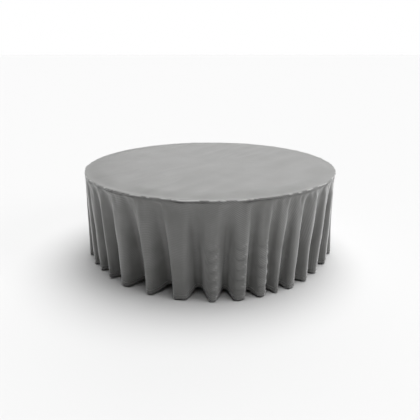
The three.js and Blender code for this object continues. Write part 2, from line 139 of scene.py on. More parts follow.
floor_bm = bmesh.new()
bmesh.ops.create_grid(floor_bm, x_segments=1, y_segments=1, size=FLOOR_HALF_WIDTH)
floor_mesh = bpy.data.meshes.new("floor")
floor_bm.to_mesh(floor_mesh)
floor_bm.free()
floor = bpy.data.objects.new("floor", floor_mesh)
bpy.context.collection.objects.link(floor)
print("floor:", 2 * FLOOR_HALF_WIDTH, "m across")

# %% [markdown]
# ## The cut cloth
#
# The real cloth starts as a flat disc. It reaches from the middle of the table to its rim
# and on down to just above the floor, so its radius is the table's plus the drop. The disc
# could be a grid cut to a circle, but rings and spokes follow the rim and the folds better,
# so a single line of points from the centre outwards is spun about the middle.
#
# The flat place of every point is kept in the cloth's UV map. The weave is drawn from it
# later, and so it runs straight through the cloth and bends with it, as real threads do.

# %% Cut the cloth
RIM = 1.0024             # middle of the cloth's thickness, at the table's rim
TOP = 0.7359             # the cloth on the table's top
THICKNESS = 0.001
CORNER = 0.008           # radius of the bend at the rim
LIFT = 0.0105            # hem above the floor
FOLDS = 33
SPOKES = FOLDS * 8
HEM_WIDTH = 0.026
RINGS_ON_TOP = 10
RINGS_DOWN = 28          # down the skirt, between the close rings at the rim and the hem

bend_length = CORNER * math.pi / 2
flat_corner = RIM - CORNER
flat_bend_end = flat_corner + bend_length
drop = TOP - CORNER - LIFT
hem_radius = flat_bend_end + drop

CENTRE = 0.03            # the small middle of the cloth, closed by one face at the end
rings = list(np.linspace(CENTRE, flat_corner - 0.04, RINGS_ON_TOP))
rings += [flat_corner - 0.018, flat_corner - 0.006]
rings += [flat_corner + bend_length * share for share in (0, 0.33, 0.67, 1)]
rings += [flat_bend_end + below for below in (0.004, 0.008, 0.013)]
rings += list(np.linspace(flat_bend_end + 0.021, hem_radius - HEM_WIDTH, RINGS_DOWN))
rings += [hem_radius - HEM_WIDTH / 2, hem_radius]

cloth_bm = bmesh.new()
line = [cloth_bm.verts.new((0, -CENTRE, 0))]
for inner, outer in zip(rings, rings[1:]):
    grown = bmesh.ops.extrude_vert_indiv(cloth_bm, verts=[line[-1]])["verts"]
    bmesh.ops.translate(cloth_bm, verts=grown, vec=(0, -(outer - inner), 0))
    line += grown
bmesh.ops.spin(cloth_bm, geom=cloth_bm.verts[:] + cloth_bm.edges[:], cent=(0, 0, 0),
               axis=(0, 0, 1), angle=2 * math.pi, steps=SPOKES, use_merge=True)
bmesh.ops.remove_doubles(cloth_bm, verts=cloth_bm.verts, dist=1e-5)
bmesh.ops.recalc_face_normals(cloth_bm, faces=cloth_bm.faces)
if cloth_bm.faces[0].normal.z < 0:
    bmesh.ops.reverse_faces(cloth_bm, faces=cloth_bm.faces)

UV_SPAN = 4.0            # metres of flat cloth across the whole UV map
cut_uv = cloth_bm.loops.layers.uv.new("cut")
for face in cloth_bm.faces:
    face.smooth = True
    for loop in face.loops:
        flat = loop.vert.co
        loop[cut_uv].uv = (flat.x / UV_SPAN + 0.5, flat.y / UV_SPAN + 0.5)
cloth_mesh = bpy.data.meshes.new("tablecloth_sheet")
cloth_bm.to_mesh(cloth_mesh)
cloth_bm.free()
print("cut cloth:", round(2 * hem_radius, 3), "m across,", len(cloth_mesh.polygons), "faces")

# %% [markdown]
# ## How much cloth goes into a fold
#
# Cloth hardly stretches, and that alone fixes the folds. A ring of the flat cloth keeps its
# length when it hangs, though it hangs in a narrower circle, so it has to wander in and
# out. Each half fold runs from a ridge, where the thread points along the table's edge,
# down a flank, where it points inwards, to a valley, where it is level again.
#
# Real folds aren't a clock face. Some are wide and some narrow, because the cloth was
# pulled straight by hand, and each leans a little. Some ridges are broad and flat, some
# sharp, and some start as a flat triangle under the rim that narrows on its way down. Every
# fold gets these from a seeded list, so the cloth comes out the same on every run.

# %% The folds' own habits
RIDGE_LEAN = 0.040       # most ridges hang this far inside the rim at the hem
SIDE_FLARE = 0.062       # and those at the two sides this much further out
FIRST_FOLD = -1.397      # the ridge of one fold, in radians from the front
WANDERS = ((0.0627, 3, 1.335), (-0.0263, 5, 4.358))   # radians, waves round the cloth, phase

chance = np.random.default_rng(12)
half_folds = 2 * FOLDS
ridge_flat = chance.uniform(0.02, 0.30, FOLDS)        # share of a half fold that stays flat
ridge_soft = chance.uniform(0.08, 0.48, FOLDS)        # share in which the ridge turns
ridge_flare = chance.uniform(0.0, 0.40, FOLDS)        # how much broader it is at the rim
valley_flat = chance.uniform(0.0, 0.14, FOLDS)
fold_lean = 0.10 * chance.standard_normal(FOLDS)      # drift at the hem, in half folds
fold_shift = 0.04 * chance.standard_normal(FOLDS)
sway_size = 0.07 * chance.standard_normal(half_folds)  # each edge wanders as it comes down
sway_start = chance.uniform(0, 2 * math.pi, half_folds)


def wandered(even):
    return even + sum(size * np.sin(waves * even + phase) for size, waves, phase in WANDERS)


def ease(x):
    x = np.clip(x, 0, 1)
    return x * x * (3 - 2 * x)


BESIDE_FROM, BESIDE_TO = 1.05, 1.9   # radians from the front, where the side flare is
turn_at = FIRST_FOLD + np.arange(half_folds + 1) * math.pi / FOLDS   # ridge, valley, ridge ..
uneven = np.zeros(half_folds)
uneven[0::2] = fold_shift * math.pi / FOLDS
turn_angle = wandered(turn_at + np.append(uneven, uneven[0]))
ridge_side = np.abs(np.arctan2(np.sin(turn_angle[:-1:2]), np.cos(turn_angle[:-1:2])))
beside = ease((ridge_side - BESIDE_FROM) / 0.44) * (1 - ease((ridge_side - BESIDE_TO) / 0.4))
ridge_lean = RIDGE_LEAN - SIDE_FLARE * beside
print("folds are from", round(np.degrees(np.diff(turn_angle[::2]).min()), 1), "to",
      round(np.degrees(np.diff(turn_angle[::2]).max()), 1), "degrees wide")

# %% [markdown]
# ## One half fold
#
# The steepness of a fold's flank could be guessed, but then the cloth would stretch. Instead
# the function below tries every turn of the flank on each ring, and keeps the one at which
# the ring of cloth and the circle that it hangs in agree.

# %% The shape of one half fold
FALL_ROWS = 60           # rings down the skirt at which a half fold is worked out
ACROSS = 49              # and points across it
MOST_SWING = 2.3         # radians, the furthest that a flank is tried at
SOFT_AT_HEM = 0.35       # a ridge turns this much as softly at the hem as the list says
FLAT_SHARE = 0.6         # of a flat ridge's width, the part before it starts to turn
VALLEY_TURN = 0.16       # share of the half fold in which the valley turns level

falls = np.linspace(0, 1, FALL_ROWS)
across_share = np.linspace(0, 1, ACROSS)
swings = np.linspace(0, MOST_SWING, 116)


def summed(parts):
    """Running sums across the half fold, starting from 0."""
    step = across_share[1]
    return np.concatenate([np.zeros((len(swings), 1)), np.cumsum(parts, 1) * step], 1)


def half_fold(index):
    """Inward movement and angle of one half fold, at each fall and each share of its cloth."""
    ridge = (index + 1) // 2 % FOLDS
    valley = index // 2
    from_ridge = index % 2 == 0
    width = turn_angle[index + 1] - turn_angle[index]
    inward, angle = [], []
    for fall in falls:
        flat_radius = flat_bend_end + fall * drop
        broad = ridge_flat[ridge] + ridge_flare[ridge] * (1 - fall) ** 2.5
        soft = ridge_soft[ridge] * (SOFT_AT_HEM + (1 - fall))
        leaving = ease((across_share - broad * FLAT_SHARE) / soft)
        arriving = ease((1 - valley_flat[valley] - across_share) / VALLEY_TURN)
        direction = swings[:, None] * (leaving * arriving)[None, :]
        middle = (direction[:, 1:] + direction[:, :-1]) / 2
        along, deep = summed(np.cos(middle)), summed(np.sin(middle))
        ridge_radius = RIM - ridge_lean[ridge] * fall
        spare = along[:, -1] * flat_radius + deep.mean(1) * flat_radius * width - ridge_radius
        at = np.interp(0, -spare, np.arange(len(swings)))
        low = min(int(at), len(swings) - 2)
        part = at - low
        along = along[low] * (1 - part) + along[low + 1] * part
        deep = deep[low] * (1 - part) + deep[low + 1] * part
        inward.append(deep * flat_radius * width)
        angle.append(along / along[-1])
    inward, angle = np.array(inward), np.array(angle)
    if not from_ridge:
        inward, angle = inward[:, ::-1], 1 - angle[:, ::-1]
    return inward, angle


shapes = [half_fold(i) for i in range(half_folds)]
inward = np.array([shape[0] for shape in shapes])
angle_share = np.array([shape[1] for shape in shapes])
print("half folds worked out:", len(shapes), "of", FALL_ROWS, "by", ACROSS, "points each")

# %% [markdown]
# ## Opening below the rim
#
# Over the table's edge the spare cloth stays in small puckers, so the folds open slowly, and
# a power below 1 lets them open fast at first and then ease off. This gives up a few per
# cent of the cloth's width just under the rim, where real cloth has it in puckers too fine
# for this mesh. The two half folds of a valley are worked out apart, so each is scaled until
# they meet at the same depth.

# %% Open the folds and join them at the valleys
OPEN_AT = 0.60           # share of the drop at which a fold is as deep as it gets
OPENING_POWER = 0.33

opening = np.minimum(falls / OPEN_AT, 1) ** OPENING_POWER
inward *= opening[None, :, None]
for valley in range(FOLDS):
    left, right = 2 * valley, 2 * valley + 1
    meeting = (inward[left, :, -1] + inward[right, :, 0]) / 2
    for side, edge in ((left, -1), (right, 0)):
        own = inward[side, :, edge]
        scale = np.divide(meeting, own, where=own > 0, out=np.ones(len(falls)))
        inward[side] *= scale[:, None]
print("fold depth at the hem:", round(float(inward[:, -1].max()), 3), "m at most,",
      round(float(np.median(inward[:, -1].max(1))), 3), "m in the middle of the list")

# %% [markdown]
# ## Where each fold hangs
#
# A fold wanders to the side as it comes down, and leans in or out. Whatever a thread spends
# on going inwards and sideways, it can't spend on going down, so the drop of each step comes
# from Pythagoras. That keeps an upright thread at the length it was cut to, except where a
# step would have to be too flat, and LEAST_DROP holds it.

# %% Where each fold hangs
LEAST_DROP = 0.3         # a step goes down by at least this share of its length

drift = np.zeros(half_folds)
drift[0::2] = fold_lean
drift[1::2] = (fold_lean + np.roll(fold_lean, -1)) / 2
drift = np.append(drift, drift[0]) * math.pi / FOLDS
sway = sway_size[:, None] * math.pi / FOLDS * np.sin(
    1.3 * math.pi * falls[None, :] + sway_start[:, None]) * ease(falls / 0.4)[None, :]
sway = np.vstack([sway, sway[:1]])
turn_now = turn_angle[:, None] + drift[:, None] * falls[None, :] ** 1.5 + sway
angle = (turn_now[:-1, :, None] * (1 - angle_share) + turn_now[1:, :, None] * angle_share)
lean = np.zeros(half_folds + 1)
lean[0:-1:2] = ridge_lean
lean[-1] = lean[0]
lean[1::2] = (lean[0:-1:2] + lean[2::2]) / 2
lean_share = lean[:-1, None] * (1 - across_share) + lean[1:, None] * across_share
hanging = RIM - lean_share[:, None, :] * falls[None, :, None] - inward
step_down = drop * (falls[1] - falls[0])
sideways = np.diff(angle, axis=1) * (hanging[:, 1:] + hanging[:, :-1]) / 2
steep = step_down ** 2 - np.diff(hanging, axis=1) ** 2 - sideways ** 2
lowered = np.cumsum(np.sqrt(np.maximum(steep, (LEAST_DROP * step_down) ** 2)), axis=1)
lowered = np.concatenate([np.zeros((half_folds, 1, len(across_share))), lowered], axis=1)
print("hem is between", round(float(TOP - CORNER - lowered[:, -1].max()), 4), "and",
      round(float(TOP - CORNER - lowered[:, -1].min()), 4), "m above the floor")

# %% [markdown]
# ## Hang the cloth
#
# The half folds are tables of numbers, and the cloth's points fall between their rows and
# columns. So each flat point is given its fold, its share across it and its share of the
# drop, and its place is read between the four nearest entries.

# %% Hang the cloth
def look_up(table, half, row, column):
    """Reads the half folds' tables between their rows and columns."""
    r0 = np.clip(np.floor(row).astype(int), 0, table.shape[1] - 2)
    c0 = np.clip(np.floor(column).astype(int), 0, table.shape[2] - 2)
    fr, fc = row - r0, column - c0
    upper = table[half, r0, c0] * (1 - fc) + table[half, r0, c0 + 1] * fc
    lower = table[half, r0 + 1, c0] * (1 - fc) + table[half, r0 + 1, c0 + 1] * fc
    return upper * (1 - fr) + lower * fr


def hang(flat):
    """The draped place of each flat point: rows of x, y, z."""
    radius = np.hypot(flat[:, 0], flat[:, 1])
    azimuth = np.arctan2(flat[:, 0], -flat[:, 1])
    turned = turn_angle[0] + np.mod(azimuth - turn_angle[0], 2 * math.pi)
    half = np.clip(np.searchsorted(turn_angle, turned, side="right") - 1, 0, half_folds - 1)
    share = (turned - turn_angle[half]) / (turn_angle[half + 1] - turn_angle[half])
    fall = np.clip((radius - flat_bend_end) / drop, 0, 1)
    row, column = fall * (len(falls) - 1), share * (len(across_share) - 1)
    skirt = radius > flat_bend_end
    bend = np.clip((radius - flat_corner) / CORNER, 0, math.pi / 2)
    on_bend = flat_corner + CORNER * np.sin(bend)
    r = np.where(radius <= flat_corner, radius,
                 np.where(skirt, look_up(hanging, half, row, column), on_bend))
    z = np.where(skirt, TOP - CORNER - look_up(lowered, half, row, column),
                 TOP - CORNER * (1 - np.cos(bend)))
    a = np.where(skirt, look_up(angle, half, row, column), azimuth)
    return np.stack([r * np.sin(a), -r * np.cos(a), z], axis=1)


flat_points = np.array([v.co for v in cloth_mesh.vertices])
hung_points = hang(flat_points)
print("hung cloth reaches from", hung_points.min(0).round(3), "to", hung_points.max(0).round(3))

# %% [markdown]
# ## Let it fall
#
# The computed folds are the large shapes. A cloth simulation settles them under the cloth's
# own weight and stiffness, and that is all it does here: every point is held softly at its
# computed place, so the cloth moves by a few millimetres only. Left freer, it throws the hem
# outwards. Its rest lengths are those of the flat disc, so that it is drawn towards the size
# it was cut to. The part that lies on the table is pinned. Nothing is random while it runs.

# %% Let it fall
SIM_FRAMES = 30
GUIDE = 0.22             # how strongly the computed folds hold the falling cloth


def places(mesh):
    """Where the mesh's points are: rows of x, y, z."""
    points = np.zeros(len(mesh.vertices) * 3)
    mesh.vertices.foreach_get("co", points)
    return points.reshape(-1, 3)


def drape(mesh, start, flat):
    """The cloth after it has hung for SIM_FRAMES, from these places and this flat cut."""
    sim = bpy.data.objects.new("drape", mesh.copy())
    bpy.context.collection.objects.link(sim)
    sim.data.vertices.foreach_set("co", start.astype(np.float32).ravel())
    sim.shape_key_add(name="hung")
    cut = sim.shape_key_add(name="cut flat")
    cut.data.foreach_set("co", flat.astype(np.float32).ravel())
    cut.value = 0
    radius = np.hypot(flat[:, 0], flat[:, 1])
    held = sim.vertex_groups.new(name="held")
    held.add(list(range(len(radius))), GUIDE, "REPLACE")
    held.add(np.nonzero(radius <= flat_bend_end + 1e-4)[0].tolist(), 1, "REPLACE")
    cloth = sim.modifiers.new("fall", "CLOTH")
    settings = cloth.settings
    settings.quality = 7
    settings.mass = 0.2
    settings.air_damping = 2
    settings.tension_stiffness = settings.compression_stiffness = 25
    settings.shear_stiffness = 8
    settings.bending_stiffness = 0.35
    settings.tension_damping = settings.compression_damping = 8
    settings.vertex_group_mass = "held"
    settings.rest_shape_key = cut
    cloth.collision_settings.use_collision = False
    cloth.point_cache.frame_start, cloth.point_cache.frame_end = 1, SIM_FRAMES
    for moment in range(1, SIM_FRAMES + 1):
        bpy.context.scene.frame_set(moment)
    settled = sim.evaluated_get(bpy.context.evaluated_depsgraph_get()).to_mesh()
    points = places(settled)
    bpy.data.objects.remove(sim, do_unlink=True)
    bpy.context.scene.frame_set(1)
    return points


def refined(points):
    """The cloth with these points, each face split in four and smoothed."""
    rough = bpy.data.objects.new("rough", cloth_mesh.copy())
    rough.data.vertices.foreach_set("co", points.astype(np.float32).ravel())
    bpy.context.collection.objects.link(rough)
    smoother = rough.modifiers.new("smoother", "SUBSURF")
    smoother.levels = smoother.render_levels = 1
    smoother.boundary_smooth = "ALL"
    mesh = bpy.data.meshes.new_from_object(
        rough.evaluated_get(bpy.context.evaluated_depsgraph_get()))
    bpy.data.objects.remove(rough, do_unlink=True)
    return mesh


fine_mesh = refined(flat_points)
fine_flat = places(fine_mesh)
draped = hang(fine_flat)
fallen_points = drape(cloth_mesh, hung_points, flat_points)
fallen = places(refined(fallen_points)) - places(refined(hung_points))
draped = draped + fallen
print("the fall moved the cloth by up to", np.linalg.norm(fallen, axis=1).max().round(3),
      "m, and on average", np.linalg.norm(fallen, axis=1).mean().round(4), "m")

# %% [markdown]
# ## Bead and puckers at the rim
#
# Close to the rim the cloth has a little too much length for the table's edge, and it
# takes it up in a loose bead, a softer shoulder under it and short puckers. These could be
# sculpted by hand, but seeded noise gives the same uneven run all the way round. They, and
# the creases after them, are moves of a few millimetres along the cloth's own normal, so
# they hardly change how much cloth there is.

# %% Bead and puckers at the rim
BEAD_HEIGHT = 0.0062
SHOULDER_HEIGHT = 0.0048
PUCKER_HEIGHT = 0.0085
PUCKER_WIDTH = 0.042
SLACK_HEIGHT = 0.0052    # long soft unevenness, all the way down

flat_radius = np.hypot(fine_flat[:, 0], fine_flat[:, 1])
azimuth = np.arctan2(fine_flat[:, 0], -fine_flat[:, 1])
fall_share = np.clip((flat_radius - flat_bend_end) / drop, 0, 1)


def rough_field(points, size, seed, octaves=2):
    """Smooth noise from -1 to 1 over the points, with bumps of about this size."""
    shift = Vector((seed * 7.3, seed * 3.1, seed * 5.7))
    return np.array([noise.fractal(Vector(q) / size + shift, 1.0, 2.0, octaves)
                     for q in points]).clip(-1, 1)


ring_points = np.stack([np.sin(azimuth), -np.cos(azimuth), np.zeros(len(azimuth))], axis=1)
bead_size = np.clip(0.55 + 1.5 * rough_field(ring_points, 0.07, 1, 3), 0.15, 1.1)
bead_place = flat_bend_end - 0.003 + 0.004 * rough_field(ring_points, 0.11, 2)
bead = BEAD_HEIGHT * bead_size * np.exp(-((flat_radius - bead_place) / 0.0042) ** 2)
shoulder_size = np.clip(0.75 + 0.9 * rough_field(ring_points, 0.10, 7), 0.2, 1.15)
shoulder_place = bead_place + 0.019 + 0.004 * rough_field(ring_points, 0.08, 8)
shoulder_reach = np.where(flat_radius < shoulder_place, 0.0060, 0.015)
shoulder = SHOULDER_HEIGHT * shoulder_size * np.exp(
    -((flat_radius - shoulder_place) / shoulder_reach) ** 2)

pucker_points = ring_points + np.stack([np.zeros(len(azimuth))] * 2 + [flat_radius * 0.4], axis=1)
under_rim = ease((flat_radius - flat_bend_end - 0.004) / 0.03) * (1 - ease(fall_share / 0.30))
puckers = PUCKER_HEIGHT * rough_field(pucker_points, PUCKER_WIDTH, 3) * under_rim
slack_points = ring_points * 1.6 + [0, 0, 1] * flat_radius[:, None] * 0.22
slack = SLACK_HEIGHT * rough_field(slack_points, 0.085, 4) * ease(fall_share / 0.1)
print("rim: bead of", round(bead.max() * 1000, 1), "mm, shoulder of",
      round(shoulder.max() * 1000, 1), "mm, puckers of", round(puckers.max() * 1000, 1), "mm")

# %% [markdown]
# ## Stacks of crescents
#
# Some ridges buckle on their way down into a stack of crescents, where the cloth was folded
# in its bag. A sawtooth of the distance from the middle repeats down the ridge, and bending
# its phase by the square of the distance from the ridge turns straight steps into crescents.

# %% Stacks of crescents
CRESCENT_HEIGHT = 0.0095
CRESCENT_PITCH = 0.076
BUCKLED_RIDGES = {7: 1, 8: 1, 9: 0.9, 20: 0.6, 27: 0.4}   # ridge, and how strongly

turned = turn_angle[0] + np.mod(azimuth - turn_angle[0], 2 * math.pi)
nearest_turn = np.abs(turned[:, None] - turn_angle[None, ::2]).argmin(1)
nearest = nearest_turn % FOLDS
off_ridge = (turned - turn_angle[::2][nearest_turn]) / (math.pi / FOLDS)
buckled = np.zeros(FOLDS)
for ridge, strength_there in BUCKLED_RIDGES.items():
    buckled[ridge] = strength_there
stack_phase = flat_radius / CRESCENT_PITCH + 2.8 * (off_ridge + 0.08) ** 2 + 0.35 * rough_field(
    ring_points, 0.3, 5)
stack_share = np.mod(stack_phase, 1)
crescent = ease(stack_share / 0.7) * (1 - ease((stack_share - 0.7) / 0.3))
stack_size = buckled[nearest] * ease((fall_share - 0.34) / 0.15) * np.exp(
    -((off_ridge + 0.05) / 0.40) ** 2) * (0.85 + 0.8 * rough_field(fine_flat, 0.07, 9)).clip(0.2, 1)
crescents = CRESCENT_HEIGHT * stack_size * crescent
print("crescents:", round(crescents.max() * 1000, 1), "mm high, on", len(BUCKLED_RIDGES), "ridges")

# %% [markdown]
# ## Painted shade and highlights in the creases and at the rim
#
# This paints light and shade that the mesh is too coarse to make. The groove under the rim
# and the crease line of each crescent get painted shade, and the bead's crest and each
# crescent's tip get a painted highlight. One number for each point says which, from -1 for
# painted shade to 1 for painted highlight. The satin reads it later as an attribute, which
# stays with the cloth however it is seen or moved.

# %% Painted shade and highlights
# Painted shade along the groove under the rim's bead and in each crescent's crease line; painted
# highlight on the bead's crest and on each crescent's tip.
groove_shade = np.exp(-((flat_radius - bead_place - 0.009) / 0.0045) ** 2) * bead_size
crest_highlight = np.exp(-((flat_radius - bead_place + 0.001) / 0.004) ** 2) * ease(
    (rough_field(ring_points, 0.05, 11) - 0.05) / 0.25)
fold_line_shade = ease((stack_share - 0.70) / 0.12) * (1 - ease((stack_share - 0.92) / 0.08))
fold_tip_highlight = ease((stack_share - 0.42) / 0.12) * (1 - ease((stack_share - 0.62) / 0.1)) * ease(
    (off_ridge - 0.02) / 0.15)
painted_shade_and_highlight = (0.9 * crest_highlight + 1.0 * fold_tip_highlight * stack_size
             - 0.9 * groove_shade - 0.65 * fold_line_shade * stack_size).clip(-1, 1)
print("worn share of the cloth:", round(float((np.abs(painted_shade_and_highlight) > 0.3).mean()), 3))

# %% [markdown]
# ## Waves on the top
#
# On the table's top the cloth keeps broad shallow waves from the way it was folded, with a
# few sharper lines among them. Noise that is stretched along one direction gives both. It
# fades out before the rim, where the cloth is pulled tight, and at the very middle.

# %% Waves on the top
WAVE_HEIGHT = 0.020
SHARP_HEIGHT = 0.004

across_top = fine_flat[:, 0] * 0.85 - fine_flat[:, 1] * 0.53
along_top = fine_flat[:, 0] * 0.53 + fine_flat[:, 1] * 0.85
streak_points = np.stack([across_top * 2.4, along_top * 0.5, np.zeros(len(across_top))], axis=1)
on_top = 1 - ease((flat_radius - flat_corner + 0.12) / 0.10)
away_from_centre = ease((flat_radius - 0.08) / 0.25)
sharp_streaks = (1 - np.abs(rough_field(streak_points, 0.5, 16))) ** 2 * away_from_centre
broad_waves = WAVE_HEIGHT * (1 + rough_field(streak_points, 0.5, 6)) / 2
streaks = (broad_waves + SHARP_HEIGHT * sharp_streaks) * on_top

fine_mesh.vertices.foreach_set("co", draped.astype(np.float32).ravel())
fine_mesh.update()
normals = np.zeros(len(draped) * 3)
fine_mesh.vertex_normals.foreach_get("vector", normals)
normals = normals.reshape(-1, 3)
if normals[flat_radius < 0.5, 2].mean() < 0:
    normals = -normals
draped = draped + normals * (bead + shoulder + puckers + slack + crescents)[:, None]
draped[:, 2] += streaks
print("waves on the top rise", round(streaks.max() * 1000, 1), "mm over the panel at most")

# %% [markdown]
# ## Resting on the table
#
# A cloth can't go through the table under it. The last step pushes every point out to where
# the table's moulded edge and its lower corner would hold it, and keeps the hem clear of
# the floor.

# %% Resting on the table
BAND_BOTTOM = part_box("edge_band")[0].z
CLEAR = 1.0019           # the cloth's middle stays outside this, over the table's edge
INWARD_SLOPE = 1.6       # below the edge band it may swing in this steeply
FLOOR_GAP = 0.0025

radius = np.hypot(draped[:, 0], draped[:, 1])
least = CLEAR - INWARD_SLOPE * np.maximum(0, BAND_BOTTOM - 0.002 - draped[:, 2])
hangs = flat_radius > flat_bend_end - 1e-4
lies = flat_radius < flat_corner
push = np.where(hangs, np.maximum(least / np.maximum(radius, CENTRE / 2), 1), 1)
draped[:, :2] *= push[:, None]
draped[~hangs, 2] = np.maximum(draped[~hangs, 2], TOP - CORNER)
draped[lies, 2] = np.maximum(draped[lies, 2], TOP)
draped[:, 2] = np.maximum(draped[:, 2], FLOOR_GAP)
fine_mesh.vertices.foreach_set("co", draped.astype(np.float32).ravel())
fine_mesh.update()
# The painted shade and highlight are kept on the cloth as a point attribute.
painted_light = fine_mesh.attributes.new("painted_shade_and_highlight", "FLOAT", "POINT")
painted_light.data.foreach_set("value", painted_shade_and_highlight.astype(np.float32))
print("cloth reaches", np.hypot(draped[:, 0], draped[:, 1]).max().round(4),
      "m from the middle, and its hem hangs", draped[:, 2].min().round(4), "m above the floor")

# %% [markdown]
# ## Sheet and hem
#
# The real cloth's edge is turned over twice and stitched, which makes it three layers thick
# and a little stiff. The last rings of the sheet are cut off and made a band of their own,
# thicker towards the inside, with a rounded lower edge where the fold is. The rest gets the
# thickness of one layer.

# %% Sheet and hem
HEM_THICKNESS = 0.0022
HEM_OFFSET = -0.55       # most of the hem's thickness goes to the inside

sheet_bm = bmesh.new()
sheet_bm.from_mesh(fine_mesh)
hem_start = hem_radius - HEM_WIDTH
ring_of = sheet_bm.verts.layers.float.new("ring")
for vert, ring in zip(sheet_bm.verts, flat_radius):
    vert[ring_of] = ring
hem_bm = sheet_bm.copy()
bmesh.ops.delete(sheet_bm, context="FACES", geom=[
    f for f in sheet_bm.faces if sum(v[ring_of] for v in f.verts) / 4 > hem_start])
ring_of = hem_bm.verts.layers.float["ring"]
bmesh.ops.delete(hem_bm, context="FACES", geom=[
    f for f in hem_bm.faces if sum(v[ring_of] for v in f.verts) / 4 < hem_start])
inner_edge = [e for e in sheet_bm.edges if e.is_boundary and e.verts[0].co.xy.length < 0.1]
bmesh.ops.contextual_create(sheet_bm, geom=inner_edge)


def piece_from(bm, name):
    """Makes an object of a finished bmesh, shaded smooth."""
    for face in bm.faces:
        face.smooth = True
    mesh = bpy.data.meshes.new(name)
    bm.to_mesh(mesh)
    bm.free()
    made = bpy.data.objects.new(name, mesh)
    bpy.context.collection.objects.link(made)
    return made


cloth = piece_from(sheet_bm, "tablecloth_sheet")
hem = piece_from(hem_bm, "turned_hem")
for piece, thick, offset in ((cloth, THICKNESS, 0), (hem, HEM_THICKNESS, HEM_OFFSET)):
    solid = piece.modifiers.new("thickness", "SOLIDIFY")
    solid.thickness = thick
    solid.offset = offset
    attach(piece, "cloth")
rounding = hem.modifiers.new("folded edge", "BEVEL")
rounding.width = 0.0003
rounding.segments = 2
rounding.angle_limit = math.radians(50)
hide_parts("tablecloth")
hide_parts("hem")
print("sheet:", len(cloth.data.polygons), "faces, hem:", len(hem.data.polygons), "faces")

# %% [markdown]
# ## The row of stitches
#
# The turned edge is held by one row of lockstitch along its top. Each stitch is a short end
# of thread that dips into the cloth at both ends, so a row of small six-sided pegs, laid end
# to end along the hem, says what it is with very few faces. A real stitch is 3 mm long. These
# are three times that, so that the row can be seen at all from across a room.

# %% The row of stitches
STITCH_PITCH = 0.010
STITCH_LENGTH = 0.0072
THREAD_RADIUS = 0.0005
THREAD_STANDS = 0.0006   # its middle, in front of the cloth's
SEAM_RING = hem_start + 0.003

seam_ring = np.abs(flat_radius - SEAM_RING)
near_seam = np.nonzero(seam_ring < seam_ring.min() + 1e-5)[0]
near_seam = near_seam[np.argsort(azimuth[near_seam])]
seam_path = draped[near_seam]
seam_out = normals[near_seam]
seam_steps = np.linalg.norm(np.roll(seam_path, -1, 0) - seam_path, axis=1)
seam_along = np.concatenate([[0], np.cumsum(seam_steps)])
seam_closed = np.vstack([seam_path, seam_path[:1]])
out_closed = np.vstack([seam_out, seam_out[:1]])
stitch_count = int(seam_along[-1] / STITCH_PITCH)
stitch_bm = bmesh.new()
for stitch in range(stitch_count):
    here = (stitch + 0.5) * seam_along[-1] / stitch_count
    place = Vector([np.interp(here, seam_along, seam_closed[:, i]) for i in range(3)])
    ahead = Vector([np.interp(here + 0.003, seam_along, seam_closed[:, i]) for i in range(3)])
    outwards = Vector([np.interp(here, seam_along, out_closed[:, i]) for i in range(3)])
    turn = (ahead - place).to_track_quat("Z", "Y").to_matrix().to_4x4()
    bmesh.ops.create_cone(
        stitch_bm, cap_ends=True, segments=6, radius1=THREAD_RADIUS, radius2=THREAD_RADIUS,
        depth=STITCH_LENGTH, matrix=Matrix.Translation(place + outwards * THREAD_STANDS) @ turn)
stitches = piece_from(stitch_bm, "hem_stitching")
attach(stitches, "cloth")
print("stitches:", stitch_count, "along a seam of", round(float(seam_along[-1]), 2), "m")

# %% [markdown]
# ## Satin-faced polyester
#
# The cloth is woven from fine, bright polyester thread in a satin weave, in which most of the
# warp floats on the face. That gives a smooth sheet with a soft, broad shine and a paler look
# where it is seen edge-on. Such cloth has faint cross ribs that catch the light only in
# patches. The ribs are a few tenths of a millimetre apart on the real cloth. That is far too
# fine to show, so they are drawn at 12 mm. All of it is laid out on the flat cloth's UV map,
# so that it bends with the folds. Painted shade darkens the colour in the crescents' creases
# and in the groove under the rim, and a painted highlight lightens the bead's crest and the
# crescents' tips; that follows the attribute made above.

# %% Helpers for every finish
def node(tree, kind, settings=None, **links):
    """Adds a node, with its settings and its inputs, each a value or another node's output."""
    made = tree.nodes.new(kind)
    for name, value in (settings or {}).items():
        setattr(made, name, value)
    for name, value in links.items():
        socket = made.inputs[int(name[1:]) if name[1:].isdigit() else name.replace("_", " ")]
        if isinstance(value, bpy.types.NodeSocket):
            tree.links.new(value, socket)
        else:
            socket.default_value = value
    return made


def new_material(name):
    """A material with its node tree and its shader."""
    material = bpy.data.materials.new(name)
    material.use_nodes = True
    return material, material.node_tree, material.node_tree.nodes["Principled BSDF"]


def set_finish(shader, **values):
    """Sets the shader's own sockets, for what is the same all over the surface."""
    for name, value in values.items():
        shader.inputs[name.replace("_", " ")].default_value = value


# %% The satin itself
RIB_SPACING = 0.012      # metres, drawn coarse: see above
WAVE_TURN = 20           # radians that a wave texture turns in a metre, at a scale of 1

